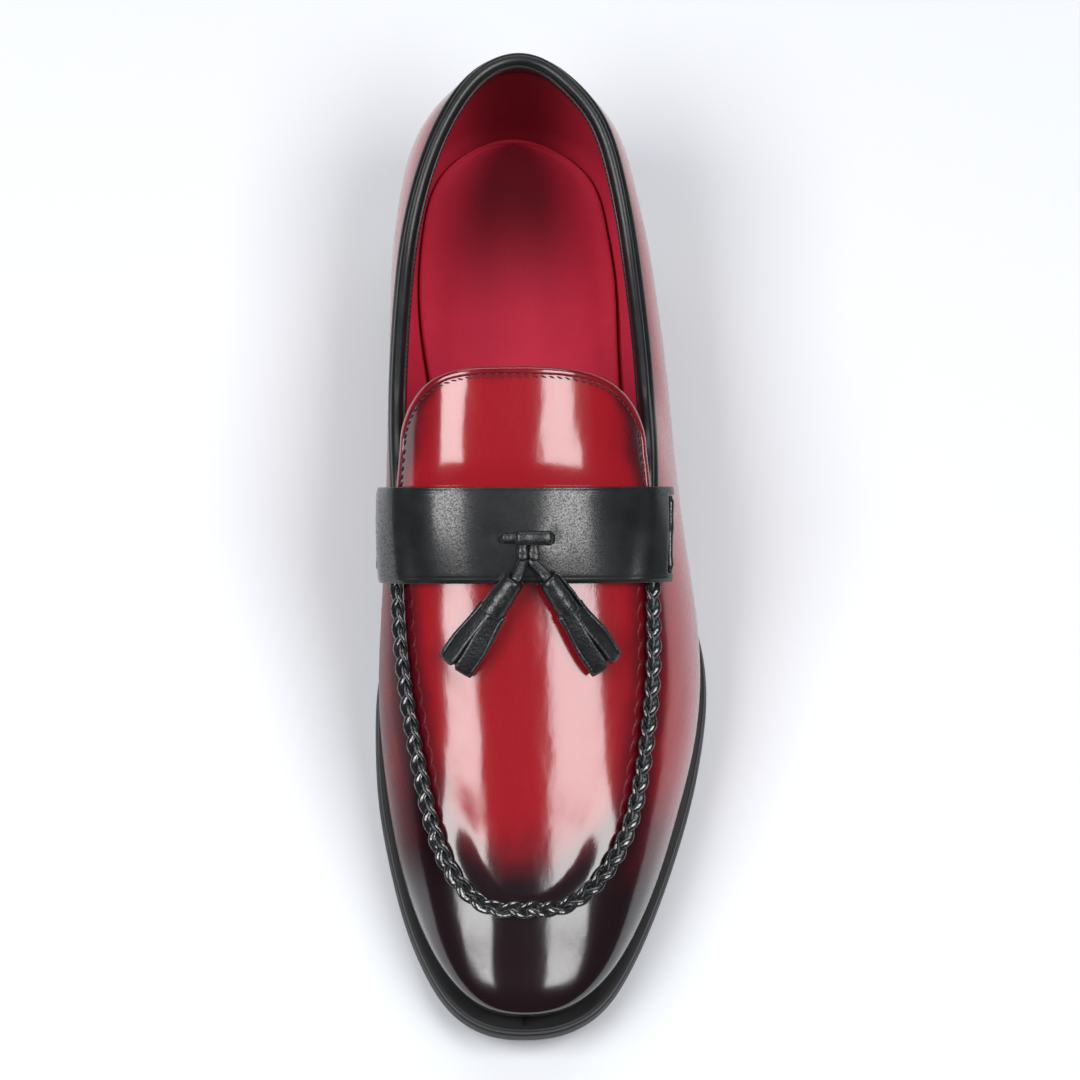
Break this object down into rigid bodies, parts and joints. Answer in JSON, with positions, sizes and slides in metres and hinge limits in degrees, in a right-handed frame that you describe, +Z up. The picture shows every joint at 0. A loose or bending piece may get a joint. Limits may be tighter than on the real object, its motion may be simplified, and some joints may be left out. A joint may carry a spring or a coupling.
{
  "type": "tassel loafer",
  "caption": "Low slip-on leather shoe for the left foot, with a raised apron seam, a strap across the instep and a pair of tassels.",
  "frame": {"origin": "on the floor, midway along and midway across the outsole", "axes": "+Z up, toe towards -Y and heel towards +Y, outer side of the left foot towards +X"},
  "size_m": [0.104, 0.302, 0.0994],
  "materials": {
    "sole_rubber": "black rubber unit, satin",
    "lining": "crimson lining leather, matt",
    "red_leather": "deep red leather polished to a high gloss, burnished near black at the toe and seams",
    "black_leather": "black leather, satin",
    "braid_leather": "black plaited leather, glossy",
    "strap_leather": "black grained leather, satin"
  },
  "bodies": {
    "root": {"outsole": "sole_rubber", "heel": "sole_rubber", "insole": "lining", "upper": "red_leather", "apron_tongue": "red_leather", "collar_binding": "black_leather", "apron_braid": "braid_leather", "strap": "strap_leather", "strap_lace_medial": "strap_leather", "strap_lace_lateral": "strap_leather", "tassel_thong": "strap_leather", "tassel_medial": "strap_leather", "tassel_lateral": "strap_leather"}
  },
  "joints": []
}
